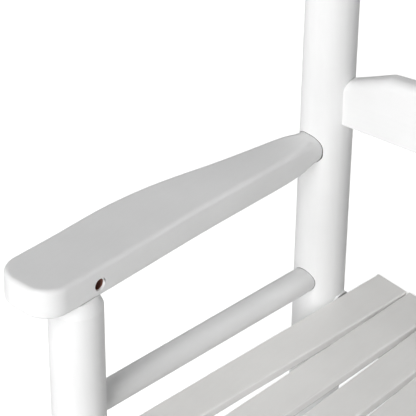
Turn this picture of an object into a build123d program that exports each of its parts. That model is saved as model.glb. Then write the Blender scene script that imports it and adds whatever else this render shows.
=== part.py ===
from build123d import *
import os
from math import cos, hypot, radians, sin, sqrt, tan

# A wooden porch rocking chair. Lengths are millimetres and angles are degrees.
#
# Chair frame: every piece is drawn here. X runs to the sitter's left, Y to the rear and Z up the
# posts. Y = 0 and Z = 0 is the point of each back post where the seat level side rail enters it.
# Row frame: the chair frame leaned back by REST_LEAN about X, with the floor at Z = 0 and the
# point where the rockers touch the floor at Y = 0. The chair balances in that attitude.

# ---- driving dimensions -------------------------------------------------------------------
POST_R = 28.5
POST_BACK_HALF = 237.0       # half the distance between the back posts
SIDE_SPAN = 375.2            # front post axis to back post axis along one side
SIDE_YAW = 6.68              # the sides close in toward the back by this angle
BACK_RAKE = 1.75             # lean of the back posts against the front posts
RAIL_RISE = 24.3             # the side rail is this much higher at the front post
POST_TOP = 738.0             # top of the back posts
POST_TOP_R = 11.0            # rounding of the top of the back posts
POST_FOOT = 40.0             # length of post beside the rocker, below the rocker's top edge
FOOT_BEVEL = 4.0
SHOULDER_START = 10.0        # the front post starts to round off this far below the arm
SHOULDER_MIDDLE = (2.2, 5.0)     # how far in and how far below the arm the curve then passes
SHOULDER_END = (8.0, -2.0)

SLAT_WIDTH = 42.2
SLAT_THICK = 12.0
SLAT_LENGTH = 470.0
SLAT_SLOPE = -0.07           # the seat drops toward the back
SLAT_EDGE_R = 2.5
SLAT_FRONT_R = 4.0
SLAT_GAP_REAR = 2.3
SLAT_YAWS = (6.68, 4.15, 2.05, 0.69, 0.0)     # from the outermost slat to the middle one
SLAT_TILTS = (6.31, 6.38, 4.10, 2.00, 0.0)    # each dips toward the middle: the seat is scooped
SLAT_STEPS = (0.0, 1.3, -0.9, -0.1, 0.0)      # small rise of a slat's outer edge over the last
SLAT_REAR_CORNER = (-198.1, 61.2, -23.8)      # rear outer top corner of the outermost slat

SLAT_NAMES = ("outer", "second", "third", "inner")

SEAT_RAIL_THICK = 24.0
SEAT_RAIL_EDGE_R = 8.0       # rounding of the rail's upper edges beside the seat
SLAT_LET_IN = 0.6            # the slats sit this deep in their notches in the rails
NOTCH_PLAY = 1.5             # gap between the outermost slat and the shoulder of the rail
FRONT_RAIL_DEPTH = 46.0      # below the lowest slat
REAR_RAIL_DEPTH = 30.0
SIDE_RAIL_R = 14.8
STRETCHER_R = 12.5
TENON_DEPTH = 18.0           # how far a rail, stretcher or slat goes into its post
SIDE_STRETCHER_FRONT = -215.0    # heights of the stretchers where they meet the posts
SIDE_STRETCHER_REAR = -232.0
UPPER_STRETCHER_Z = -135.0
LOWER_STRETCHER_Z = -250.0
REAR_STRETCHER_Z = -190.0

ARM_THICK = 34.8
ARM_FRONT_Z = 185.9          # height of the arm's mid plane above the front post's foot line
ARM_REAR_Z = 171.6           # height of the arm's round end where it enters the back post
ARM_FRONT = 58.0             # overhang in front of the front post's axis
ARM_FRONT_R = 30.0           # plan radius of the two front corners
ARM_EDGE_R = 5.0
ARM_END_EDGE_R = 16.0        # the edges grow rounder toward the end that enters the back post
ARM_SHAPED = 200.0           # the rounding starts to grow here, behind the front post's axis
ARM_REAR_STATIONS = (200.0, 230.0, 260.0, 290.0, 320.0, 350.0, 365.0)
ARM_TENON_R = 13.0           # round tenon on top of the front post
ARM_TENON_RISE = 22.0
ARM_TENON_ROOT = 12.0        # overlap of the tenon with the post below the arm
ARM_SHAPE_POWER = 9.0        # how fast the edges grow rounder
ARM_FLAT_LEFT = 0.4          # least flat left between two rounded edges
# plan outline: (distance behind the front post's axis, offset toward the sitter)
ARM_OUTER = ((20, -58.0), (110, -58.6), (155, -54.3), (200, -45.8))
ARM_INNER = ((20, 18.0), (110, 16.4), (155, 15.4), (200, 15.2))
ARM_OUTER_REAR = (-45.8, -38.9, -32.9, -27.6, -23.3, -20.4, -18.8)   # at the rear stations
ARM_INNER_REAR = (15.2, 15.4, 15.6, 15.8, 15.7, 14.9, 14.6)
ARM_OUTER_FRONT = -58.0
ARM_INNER_FRONT = 18.2
ARM_OUTER_SLOPE = 0.215      # slope of the outline where the shaped rear begins
PEG_R = 6.5
PEG_BEHIND = 17.5            # the locking peg crosses the back of the tenon
PEG_DROP = 3.0
PEG_SUNK = 14.0              # depth of the open hole in front of the peg
PEG_LENGTH = 26.0
DRILL_START = 5.0            # the drill starts this far outside the wood

BACK_SLAT_THICK = 22.0
BACK_SLAT_FRONT = -11.3      # front face, measured from the posts' axis plane
BACK_SLAT_BOTTOMS = (202.8, 394.3, 585.8)
BACK_SLAT_END = 52.0         # height where the slat meets the post
BACK_SLAT_SHOULDER = 73.8    # height at the end of the straight clipped corner
BACK_SLAT_CLIP = 78.0        # distance of that point from the post's axis
BACK_SLAT_CLIP_SLOPE = 0.434     # slope of the clipped corner
BACK_SLAT_CLIP_R = 12.0      # rounding between the clipped corner and the crown
BACK_SLAT_CROWN = 80.8       # height at the middle
BACK_SLAT_UPPER_PART = 20.0  # edges above this height belong to the top
TOP_SLAT_EXTRA = 16.0        # the uppermost slat is taller by this much
BACK_SLAT_FRONT_R = 10.0
BACK_SLAT_REAR_R = 6.0
BACK_SLAT_LOW_R = 2.5

ROCKER_R = 1050.0
ROCKER_DEPTH = 62.0
ROCKER_THICK = 30.0
ROCKER_EDGE_R = 4.0
ROCKER_FRONT_REACH = 108.0   # in front of the front post's axis
ROCKER_REAR_REACH = 362.0    # behind the back post's axis
ROCKER_END_DEPTH = 40.0
ROCKER_TAPER = 90.0          # length over which the ends grow thinner
ROCKER_NOSE_R = 16.8
REST_LEAN = 5.0
CONTACT_Y = -84.5            # floor contact in the chair frame, below the centre of mass
CONTACT_Z = -418.0

BOLT_R = 4.0
BOLT_HEAD_R = 9.0
BOLT_HEAD_RISE = 4.5
BOLT_DOME_R = 3.6
BOLT_SPARE = 1.0             # bolt that stands out of its nut
SPOT_FACE = 1.5              # depth of the flat spots under bolt heads and washers
SPOT_REACH = 8.0             # the cutter for them reaches this far out
SPOT_PLAY = 1.0
WASHER_R = 10.0
WASHER_THICK = 1.5
NUT_ACROSS_FLATS = 13.0
NUT_THICK = 7.0
SCREW_R = 2.0
SCREW_HEAD_R = 4.0
SCREW_HEAD_THICK = 2.0
SCREW_BITE = 6.0             # how far a seat screw goes into its slat
SCREW_POCKET_R = 5.0
SCREW_POCKET_DEPTH = 12.0

# ---- positions worked out from them --------------------------------------------------------
POST_FRONT_HALF = POST_BACK_HALF + SIDE_SPAN * sin(radians(SIDE_YAW))
FRONT_Y = -SIDE_SPAN * cos(radians(SIDE_YAW))
RAKE = tan(radians(BACK_RAKE))
UP = Vector(0, -sin(radians(REST_LEAN)), cos(radians(REST_LEAN)))   # true up in the chair frame
ARC_CENTRE = Vector(0, CONTACT_Y, CONTACT_Z) + UP * ROCKER_R
REST = Location((0, 0, 0), (-REST_LEAN, 0, 0)) * Location((0, -CONTACT_Y, -CONTACT_Z))
FRONT_POST = Vector(-POST_FRONT_HALF, FRONT_Y, 0)
BACK_POST = Vector(-POST_BACK_HALF, 0, 0)


def save(piece, name):
    """Lean a finished piece into the resting attitude, label it and write its file."""
    piece.part.label = name
    leaned = piece.part.moved(REST)
    leaned.label = name
    export_step(leaned, f"parts/{name}.step")


def save_pair(piece, name):
    """Write a right hand piece and its mirror image on the sitter's left."""
    save(piece, f"right_{name}")
    with BuildPart() as twin:
        mirror(piece.part, about=Plane.YZ)
    save(twin, f"left_{name}")


def along_side(distance, height):
    """A point over the line from the right front post to the right back post."""
    yaw = radians(SIDE_YAW)
    return FRONT_POST + Vector(sin(yaw) * distance, cos(yaw) * distance, height)


def back_axis(height):
    """A point on the right back post's axis."""
    return BACK_POST + Vector(0, RAKE * height, height)


def rod(start, end, radius):
    """A plain round rod from one point to another."""
    reach = end - start
    with BuildPart() as body:
        with BuildSketch(Plane(start, z_dir=reach)):
            Circle(radius)
        extrude(amount=reach.length)
    return body


# ---- seat slats ----------------------------------------------------------------------------
def slat_directions(index):
    """Unit vectors across a slat (toward the middle of the seat) and along it (to the rear)."""
    yaw = radians(SLAT_YAWS[index])
    tilt = radians(SLAT_TILTS[index])
    across = Vector(cos(yaw) * cos(tilt), -sin(yaw) * cos(tilt), -sin(tilt))
    along = Vector(sin(yaw), cos(yaw), SLAT_SLOPE).normalized()
    return across, along


def slat_corner(index):
    """Rear outer top corner of a slat, stepping in from the outermost one."""
    corner = Vector(*SLAT_REAR_CORNER)
    for step in range(1, index + 1):
        across, along = slat_directions(step - 1)
        corner = corner + across * SLAT_WIDTH + Vector(SLAT_GAP_REAR, 0, SLAT_STEPS[step])
    return corner


def seat_height(index, x, y):
    """Height of a slat's top plane over the point x, y."""
    across, along = slat_directions(index)
    normal = across.cross(along)
    corner = slat_corner(index)
    return corner.Z - (normal.X * (x - corner.X) + normal.Y * (y - corner.Y)) / normal.Z


def seat_slat(index):
    """One right hand seat slat: a flat strip with eased edges and a rounded front nose."""
    across, along = slat_directions(index)
    top = Plane(slat_corner(index), x_dir=across, z_dir=across.cross(along))
    with BuildPart() as slat:
        with BuildSketch(top):
            with Locations((SLAT_WIDTH / 2, -SLAT_LENGTH / 2)):
                Rectangle(SLAT_WIDTH, SLAT_LENGTH)
        extrude(amount=-SLAT_THICK)
        face = slat.faces().sort_by(Axis(top.origin, top.z_dir))[-1]
        ordered = face.edges().sort_by(Axis(top.origin, top.y_dir))
        fillet(ordered[0], radius=SLAT_FRONT_R)
        lengthwise = slat.edges().filter_by(Axis(top.origin, top.y_dir))
        fillet(lengthwise.sort_by(Axis(top.origin, top.z_dir))[-2:], radius=SLAT_EDGE_R)
    return slat


# ---- seat rails ----------------------------------------------------------------------------
def rail_outline(y, half_span, shoulder):
    """Right half of a seat rail's outline at y: a shoulder, then the scoop under the slats."""
    under = SLAT_LET_IN - SLAT_THICK
    outer_x = slat_edge_x(0, y)
    points = [(-half_span, shoulder), (outer_x - NOTCH_PLAY, shoulder)]
    points.append((outer_x - NOTCH_PLAY, seat_height(0, outer_x, y) + under))
    for index in range(1, len(SLAT_YAWS)):
        x = slat_edge_x(index, y)
        points.append((x, seat_height(index, x, y) + under))
    return points


def slat_edge_x(index, y):
    """Where a slat's outer edge crosses the line at y."""
    corner = slat_corner(index)
    across, along = slat_directions(index)
    return corner.X + along.X / along.Y * (y - corner.Y)


def seat_rail(y, post_half, depth, slats):
    """A scooped cross rail whose ends are let into the posts and whose top carries the slats."""
    half_span = post_half - POST_R + TENON_DEPTH
    shoulder = seat_height(0, slat_edge_x(0, y), y)
    left = rail_outline(y, half_span, shoulder)
    right = [(-x, z) for x, z in reversed(left)]
    bottom = seat_height(len(SLAT_YAWS) - 1, 0, y) - SLAT_THICK - depth
    with BuildPart() as rail:
        with BuildSketch(Plane((0, y + SEAT_RAIL_THICK / 2, 0), x_dir=(1, 0, 0), z_dir=(0, -1, 0))):
            with BuildLine():
                Polyline(*left, *right, (half_span, bottom), (-half_span, bottom), close=True)
            make_face()
        extrude(amount=SEAT_RAIL_THICK)
        lengthwise = rail.edges().filter_by(Axis.X)
        fillet(lengthwise.filter_by_position(Axis.Z, shoulder - 0.1, shoulder + 0.1), radius=SEAT_RAIL_EDGE_R)
        for slat in slats:
            add(slat.part, mode=Mode.SUBTRACT)
    return rail


def screw_lines(slats_count, y, bottom):
    """Foot and tip of each seat screw: up through the rail into the middle of a slat."""
    lines = []
    for index in range(slats_count):
        across, along = slat_directions(index)
        corner = slat_corner(index)
        middle = corner + across * (SLAT_WIDTH / 2)
        x = middle.X + along.X / along.Y * (y - middle.Y)
        top = seat_height(index, x, y) - SLAT_THICK
        sides = (1,) if index == slats_count - 1 else (1, -1)
        for side in sides:
            lines.append((side * x, y, bottom, top))
    return lines


def seat_screws(lines):
    """Every seat screw, head down in its pocket, as separate solids in one node."""
    with BuildPart() as screws:
        for x, y, bottom, top in lines:
            head_z = bottom + SCREW_POCKET_DEPTH
            with BuildSketch(Plane.XY.offset(head_z)):
                with Locations((x, y)):
                    Circle(SCREW_HEAD_R)
            extrude(amount=SCREW_HEAD_THICK)
            with BuildSketch(Plane.XY.offset(head_z)):
                with Locations((x, y)):
                    Circle(SCREW_R)
            extrude(amount=top + SCREW_BITE - head_z)
    return screws


def drill_pockets(rail, lines, screws):
    """Open the screw pockets from a rail's lower edge and take the screws out of the wood."""
    with BuildPart() as drilled:
        add(rail.part)
        for x, y, bottom, top in lines:
            with BuildSketch(Plane.XY.offset(bottom)):
                with Locations((x, y)):
                    Circle(SCREW_POCKET_R)
            extrude(amount=SCREW_POCKET_DEPTH, mode=Mode.SUBTRACT)
        add(screws.part, mode=Mode.SUBTRACT)
    return drilled


# ---- arms ----------------------------------------------------------------------------------
def arm_plane():
    """Mid plane of the right arm: x runs to the rear, y toward the outside, z up."""
    rear = along_side(SIDE_SPAN, ARM_REAR_Z) - along_side(0, ARM_FRONT_Z)
    level_out = Vector(-cos(radians(SIDE_YAW)), sin(radians(SIDE_YAW)), 0)
    return Plane(along_side(0, ARM_FRONT_Z), x_dir=rear, z_dir=rear.cross(level_out))


def arm_board():
    """The front of the arm: a board sawn to its plan and rounded over."""
    plane = arm_plane()
    outer = [(s, -o) for s, o in ARM_OUTER]
    inner = [(s, -o) for s, o in ARM_INNER]
    outer_front = (-ARM_FRONT + ARM_FRONT_R, -ARM_OUTER_FRONT)
    inner_front = (-ARM_FRONT + ARM_FRONT_R, -ARM_INNER_FRONT)
    front_inner = (-ARM_FRONT, inner_front[1] + ARM_FRONT_R)
    front_outer = (-ARM_FRONT, outer_front[1] - ARM_FRONT_R)

    def is_long_edge(edge):
        level = abs(edge.tangent_at(0.5).dot(plane.z_dir)) < 0.02
        return level and (edge.center() - plane.origin).dot(plane.x_dir) < ARM_SHAPED - 1

    with BuildPart() as board:
        with BuildSketch(plane.offset(-ARM_THICK / 2)):
            with BuildLine():
                Spline(outer_front, *outer, tangents=[(1, 0), (1, -ARM_OUTER_SLOPE)])
                Line(outer[-1], inner[-1])
                Spline(*reversed(inner), inner_front, tangents=[(-1, 0), (-1, 0)])
                TangentArc(inner_front, front_inner, tangent=(-1, 0))
                Line(front_inner, front_outer)
                TangentArc(front_outer, outer_front, tangent=(0, 1))
            make_face()
        extrude(amount=ARM_THICK)
        fillet(board.edges().filter_by(is_long_edge), radius=ARM_EDGE_R)
    return board


def arm_section(station, outer, inner):
    """Width, side shift and edge radius of the shaped rear of the arm at one station."""
    share = (station - ARM_SHAPED) / (SIDE_SPAN - POST_R - ARM_SHAPED)
    radius = ARM_EDGE_R + (ARM_END_EDGE_R - ARM_EDGE_R) * min(share, 1.0) ** ARM_SHAPE_POWER
    width = inner - outer
    return width, -(inner + outer) / 2, min(radius, width / 2 - ARM_FLAT_LEFT)


def arm_blank():
    """The arm before boring: the board, and a shaped rear that rounds off into the back post."""
    board = arm_board()
    plane = arm_plane()
    with BuildPart() as arm:
        for station, outer, inner in zip(ARM_REAR_STATIONS, ARM_OUTER_REAR, ARM_INNER_REAR):
            width, shift, radius = arm_section(station, outer, inner)
            origin = plane.origin + plane.x_dir * station
            with BuildSketch(Plane(origin, x_dir=plane.y_dir, z_dir=plane.x_dir)):
                with Locations((shift, 0)):
                    RectangleRounded(width, ARM_THICK, radius)
        loft()
        add(board.part)
    return arm


def front_tenon():
    """The round tenon that the front post sends up into the arm."""
    base = along_side(0, ARM_FRONT_Z - ARM_THICK / 2 - ARM_TENON_ROOT)
    return rod(base, base + Vector(0, 0, ARM_TENON_ROOT + ARM_TENON_RISE), ARM_TENON_R)


def peg_mouth():
    """Middle of the mouth of the peg's hole, on the arm's inner side."""
    plane = arm_plane()
    mouth = plane.origin + plane.x_dir * PEG_BEHIND - plane.z_dir * PEG_DROP
    return mouth - plane.y_dir * ARM_INNER_FRONT


def arm_peg():
    """The locking peg: it lies across the arm and bites the back of the front post's tenon."""
    outward = arm_plane().y_dir
    end = peg_mouth() + outward * PEG_SUNK
    return rod(end, end + outward * PEG_LENGTH, PEG_R)


def peg_hole():
    """The whole bored length of the peg's hole, from the arm's inner side."""
    outward = arm_plane().y_dir
    start = peg_mouth() - outward * DRILL_START
    return rod(start, start + outward * (DRILL_START + PEG_SUNK + PEG_LENGTH), PEG_R)


def bored_arm(blank, tenon, hole):
    """The finished arm, bored for the post's tenon and for the peg."""
    with BuildPart() as arm:
        add(blank.part)
        add(tenon.part, mode=Mode.SUBTRACT)
        add(hole.part, mode=Mode.SUBTRACT)
    return arm


# ---- rockers -------------------------------------------------------------------------------
def rocker_plane():
    """Upright plane through both right posts at rocker level: x to the rear, y up."""
    low_back = back_axis(CONTACT_Z)
    rear = Vector(low_back.X - FRONT_POST.X, low_back.Y - FRONT_POST.Y, 0).normalized()
    origin = FRONT_POST + rear * ((ARC_CENTRE.Y - FRONT_POST.Y) / rear.Y)
    return Plane(origin + Vector(0, 0, ARC_CENTRE.Z), x_dir=rear, z_dir=rear.cross(Vector(0, 0, 1)))


def arc_point(radius, reach):
    """A point of the rocker's arc at a distance in front of or behind the arc's centre."""
    return (reach, -sqrt(radius ** 2 - reach ** 2))


def rocker():
    """A bent runner of even depth, tapered and rounded at both ends."""
    plane = rocker_plane()
    scale = 1 / plane.x_dir.Y
    front = (FRONT_Y - ROCKER_FRONT_REACH - ARC_CENTRE.Y) * scale
    rear = (ROCKER_REAR_REACH - ARC_CENTRE.Y) * scale
    top_r = ROCKER_R - ROCKER_DEPTH
    end_r = ROCKER_R - ROCKER_END_DEPTH
    with BuildPart() as body:
        with BuildSketch(plane.offset(-ROCKER_THICK / 2)):
            with BuildLine():
                low_front = arc_point(ROCKER_R, front)
                low_rear = arc_point(ROCKER_R, rear)
                high_front = arc_point(end_r, front)
                high_rear = arc_point(end_r, rear)
                top_front = arc_point(top_r, front + ROCKER_TAPER)
                top_rear = arc_point(top_r, rear - ROCKER_TAPER)
                ThreePointArc(low_front, (0, -ROCKER_R), low_rear)
                Line(low_rear, high_rear)
                Spline(high_rear, top_rear, tangents=[arc_tangent(high_rear), arc_tangent(top_rear)])
                ThreePointArc(top_rear, (0, -top_r), top_front)
                Spline(top_front, high_front, tangents=[arc_tangent(top_front), arc_tangent(high_front)])
                Line(high_front, low_front)
            make_face()
        extrude(amount=ROCKER_THICK)
        ends = body.edges().filter_by(Axis(plane.origin, plane.z_dir))
        ordered = ends.sort_by(Axis(plane.origin, plane.x_dir))
        fillet(ordered[:2] + ordered[-2:], radius=ROCKER_NOSE_R)
        side_faces = body.faces().sort_by(Axis(plane.origin, plane.z_dir))
        fillet(side_faces[0].edges() + side_faces[-1].edges(), radius=ROCKER_EDGE_R)
    return body


def arc_tangent(point):
    """Direction toward the front along a circle about the arc's centre, at one of its points."""
    length = hypot(point[0], point[1])
    return (point[1] / length, -point[0] / length)


# ---- posts ---------------------------------------------------------------------------------
def foot_height(axis_y):
    """Height of the lower end of a post that straddles the rocker."""
    reach = axis_y - ARC_CENTRE.Y
    top_of_rocker = ARC_CENTRE.Z - sqrt((ROCKER_R - ROCKER_DEPTH) ** 2 - reach ** 2)
    return top_of_rocker - POST_FOOT


def front_post(fittings, arm):
    """Front post: rounded shoulder under the arm, slotted foot, bored for its rails."""
    foot = foot_height(FRONT_Y)
    underside = ARM_FRONT_Z - ARM_THICK / 2
    start = (POST_R, underside - SHOULDER_START)
    middle = (POST_R - SHOULDER_MIDDLE[0], underside - SHOULDER_MIDDLE[1])
    end = (POST_R - SHOULDER_END[0], underside - SHOULDER_END[1])
    with BuildPart() as post:
        with BuildSketch(Plane(FRONT_POST, x_dir=(1, 0, 0), z_dir=(0, -1, 0))):
            with BuildLine():
                Polyline((0, foot), (POST_R - FOOT_BEVEL, foot), (POST_R, foot + FOOT_BEVEL), start)
                Spline(start, middle, end)
                Polyline(end, (0, end[1]), (0, foot))
            make_face()
        revolve(axis=Axis(FRONT_POST, (0, 0, 1)))
        for fitting in fittings:
            add(fitting.part, mode=Mode.SUBTRACT)
        add(arm.part, mode=Mode.SUBTRACT)
    return post


def join_tenon(post, tenon, peg):
    """Add the top tenon to the front post and cut the peg's groove in it."""
    with BuildPart() as whole:
        add(post.part)
        add(tenon.part)
        add(peg.part, mode=Mode.SUBTRACT)
    return whole


def back_post(fittings):
    """Back post: straight, raked, rounded on top, slotted foot, bored for rails, slats and arm."""
    foot = foot_height(back_axis(CONTACT_Z).Y)
    upward = Vector(0, RAKE, 1).normalized()
    base = back_axis(foot)
    length = (POST_TOP - foot) / upward.Z
    side = (POST_R, length - POST_TOP_R)
    rim = (POST_R - POST_TOP_R, length)
    with BuildPart() as post:
        with BuildSketch(Plane(base, x_dir=(1, 0, 0), z_dir=Vector(1, 0, 0).cross(upward))):
            with BuildLine():
                Polyline((0, 0), (POST_R - FOOT_BEVEL, 0), (POST_R, FOOT_BEVEL), side)
                TangentArc(side, rim, tangent=(0, 1))
                Polyline(rim, (0, length), (0, 0))
            make_face()
        revolve(axis=Axis(base, upward))
        for fitting in fittings:
            add(fitting.part, mode=Mode.SUBTRACT)
    return post


# ---- back slats ----------------------------------------------------------------------------
def back_slat(bottom, extra):
    """A ladder slat: straight lower edge, clipped upper corners and a slightly crowned top."""
    half = POST_BACK_HALF - POST_R + TENON_DEPTH
    upward = Vector(0, RAKE, 1).normalized()
    plane = Plane(Vector(0, RAKE * bottom, bottom), x_dir=(1, 0, 0), z_dir=Vector(1, 0, 0).cross(upward))
    face = plane.offset(-BACK_SLAT_FRONT)
    clip = POST_BACK_HALF - BACK_SLAT_CLIP
    end = BACK_SLAT_END - BACK_SLAT_CLIP_SLOPE * TENON_DEPTH
    with BuildPart() as slat:
        with BuildSketch(face):
            with BuildLine():
                Line((-half, 0), (half, 0))
                Polyline((half, 0), (half, end + extra), (clip, BACK_SLAT_SHOULDER + extra))
                ThreePointArc(
                    (clip, BACK_SLAT_SHOULDER + extra),
                    (0, BACK_SLAT_CROWN + extra),
                    (-clip, BACK_SLAT_SHOULDER + extra),
                )
                Polyline((-clip, BACK_SLAT_SHOULDER + extra), (-half, end + extra), (-half, 0))
            make_face()
        extrude(amount=-BACK_SLAT_THICK)
        corners = slat.edges().filter_by(Axis(face.origin, face.z_dir))
        fillet(corners.group_by(Axis(face.origin, face.y_dir))[-1], radius=BACK_SLAT_CLIP_R)
        front_face = slat.faces().sort_by(Axis(face.origin, face.z_dir))[-1]
        fillet(upper_edges(front_face, face), radius=BACK_SLAT_FRONT_R)
        rear_face = slat.faces().sort_by(Axis(face.origin, face.z_dir))[0]
        fillet(upper_edges(rear_face, face), radius=BACK_SLAT_REAR_R)
        low = slat.edges().filter_by(Axis(face.origin, face.x_dir))
        fillet(low.group_by(Axis(face.origin, face.y_dir))[0], radius=BACK_SLAT_LOW_R)
    return slat


def upper_edges(board_face, plane):
    """The edges along the top of a board's face."""
    def is_upper(edge):
        middle = edge.position_at(0.5) - plane.origin
        flat = abs(edge.tangent_at(0.5).dot(plane.y_dir)) < 0.6
        return flat and middle.dot(plane.y_dir) > BACK_SLAT_UPPER_PART
    return board_face.edges().filter_by(is_upper)


# ---- rocker bolts --------------------------------------------------------------------------
def bolt_places():
    """Where the rocker bolts cross the posts, and their direction toward the outside."""
    plane = rocker_plane()
    outward = plane.z_dir if plane.z_dir.X < 0 else plane.z_dir * -1
    places = []
    for axis_point in (FRONT_POST, back_axis(CONTACT_Z)):
        reach = axis_point.Y - ARC_CENTRE.Y
        height = ARC_CENTRE.Z - sqrt((ROCKER_R - ROCKER_DEPTH) ** 2 - reach ** 2) - POST_FOOT / 2
        if axis_point is not FRONT_POST:
            axis_point = back_axis(height)
        places.append(Vector(axis_point.X, axis_point.Y, height))
    return places, outward


def with_twins(one):
    """The right hand solids and their mirror images on the left, in one node."""
    with BuildPart() as both:
        add(one.part)
        mirror(one.part, about=Plane.YZ)
    return both


def rocker_bolts():
    """Bolts: a domed head outside the post and a shank through post and rocker."""
    places, outward = bolt_places()
    with BuildPart() as bolts:
        for place in places:
            seat = Plane(place + outward * (POST_R - SPOT_FACE), z_dir=outward)
            with BuildSketch(seat):
                Circle(BOLT_HEAD_R)
            head = extrude(amount=BOLT_HEAD_RISE)
            rim = head.faces().sort_by(Axis(seat.origin, outward))[-1].edges()
            fillet(rim, radius=BOLT_DOME_R)
            with BuildSketch(seat):
                Circle(BOLT_R)
            extrude(amount=-(2 * (POST_R - SPOT_FACE) + WASHER_THICK + NUT_THICK + BOLT_SPARE))
    return bolts


def head_seats():
    """Flat spot faces on the posts under the bolt heads and washers."""
    places, outward = bolt_places()
    with BuildPart() as seats:
        for place in places:
            for way in (outward, outward * -1):
                with BuildSketch(Plane(place + way * (POST_R - SPOT_FACE), z_dir=way)):
                    Circle(WASHER_R + SPOT_PLAY)
                extrude(amount=SPOT_REACH)
    return seats


def rocker_washers(bolts):
    """Washers between the inner face of each post and its nut."""
    places, outward = bolt_places()
    with BuildPart() as washers:
        for place in places:
            with BuildSketch(Plane(place - outward * (POST_R - SPOT_FACE), z_dir=outward * -1)):
                Circle(WASHER_R)
            extrude(amount=WASHER_THICK)
        add(bolts.part, mode=Mode.SUBTRACT)
    return washers


def rocker_nuts(bolts):
    """Hexagon nuts on the washers."""
    places, outward = bolt_places()
    with BuildPart() as nuts:
        for place in places:
            face = place - outward * (POST_R - SPOT_FACE + WASHER_THICK)
            with BuildSketch(Plane(face, z_dir=outward * -1)):
                RegularPolygon(NUT_ACROSS_FLATS / 2, 6, major_radius=False)
            extrude(amount=NUT_THICK)
        add(bolts.part, mode=Mode.SUBTRACT)
    return nuts


# ---- cross members -------------------------------------------------------------------------
def cross_rod(start, radius, inset):
    """A round stretcher between the right post at start and its twin on the left."""
    half = abs(start.X) - inset
    return rod(Vector(-half, start.Y, start.Z), Vector(half, start.Y, start.Z), radius)


def side_rod(front_z, back_z, radius):
    """A round rail between the right front and back posts, let into both."""
    start = along_side(0, front_z)
    end = back_axis(back_z)
    reach = (end - start).normalized()
    inset = POST_R - TENON_DEPTH
    return rod(start + reach * inset, end - reach * inset, radius)


def build():
    """Make every piece and write one file for each."""
    os.makedirs("parts", exist_ok=True)

    slats = [seat_slat(index) for index in range(len(SLAT_YAWS))]
    mirrored = []
    for slat in slats[:-1]:
        with BuildPart() as twin:
            mirror(slat.part, about=Plane.YZ)
        mirrored.append(twin)
    all_slats = slats + mirrored

    front_rail = seat_rail(FRONT_Y, POST_FRONT_HALF, FRONT_RAIL_DEPTH, all_slats)
    rear_rail = seat_rail(0, POST_BACK_HALF, REAR_RAIL_DEPTH, all_slats)
    front_low = front_rail.part.bounding_box().min.Z
    rear_low = rear_rail.part.bounding_box().min.Z
    front_lines = screw_lines(len(SLAT_YAWS), FRONT_Y, front_low)
    rear_lines = screw_lines(len(SLAT_YAWS), 0, rear_low)
    screws = seat_screws(front_lines + rear_lines)
    front_rail = drill_pockets(front_rail, front_lines, screws)
    rear_rail = drill_pockets(rear_rail, rear_lines, screws)
    save(front_rail, "front_seat_rail")
    save(rear_rail, "rear_seat_rail")
    save(screws, "seat_screws")

    for index, slat in enumerate(slats):
        with BuildPart() as drilled:
            add(slat.part)
            add(screws.part, mode=Mode.SUBTRACT)
        if index < len(SLAT_NAMES):
            save_pair(drilled, f"{SLAT_NAMES[index]}_seat_slat")
        else:
            save(drilled, "middle_seat_slat")

    side_rail = side_rod(RAIL_RISE, 0, SIDE_RAIL_R)
    side_stretcher = side_rod(SIDE_STRETCHER_FRONT, SIDE_STRETCHER_REAR, STRETCHER_R)
    save_pair(side_rail, "side_rail")
    save_pair(side_stretcher, "side_stretcher")

    inset = POST_R - TENON_DEPTH
    upper_front = cross_rod(along_side(0, UPPER_STRETCHER_Z), STRETCHER_R, inset)
    lower_front = cross_rod(along_side(0, LOWER_STRETCHER_Z), STRETCHER_R, inset)
    rear_stretcher = cross_rod(back_axis(REAR_STRETCHER_Z), STRETCHER_R, inset)
    save(upper_front, "upper_front_stretcher")
    save(lower_front, "lower_front_stretcher")
    save(rear_stretcher, "rear_stretcher")

    back_slats = []
    for level, bottom in enumerate(BACK_SLAT_BOTTOMS):
        top = level == len(BACK_SLAT_BOTTOMS) - 1
        slat = back_slat(bottom, TOP_SLAT_EXTRA if top else 0)
        back_slats.append(slat)
        save(slat, ("lower_back_slat", "middle_back_slat", "top_back_slat")[level])

    runner = rocker()
    bolts = rocker_bolts()
    seats = head_seats()
    with BuildPart() as bored_rocker:
        add(runner.part)
        add(bolts.part, mode=Mode.SUBTRACT)
    save_pair(bored_rocker, "rocker")
    save(with_twins(bolts), "rocker_bolts")
    save(with_twins(rocker_washers(bolts)), "rocker_washers")
    save(with_twins(rocker_nuts(bolts)), "rocker_nuts")

    blank = arm_blank()
    tenon = front_tenon()
    peg = arm_peg()
    arm = bored_arm(blank, tenon, peg_hole())
    save_pair(arm, "arm")
    save(with_twins(peg), "arm_pegs")

    fittings = (front_rail, side_rail, side_stretcher, upper_front, lower_front, runner, bolts, seats)
    post = front_post(fittings, blank)
    save_pair(join_tenon(post, tenon, peg), "front_post")

    fittings = [rear_rail, side_rail, side_stretcher, rear_stretcher, runner, bolts, seats, blank]
    save_pair(back_post(fittings + back_slats), "back_post")


build()
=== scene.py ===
import bpy
import numpy as np
from mathutils import Matrix, Vector


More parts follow.
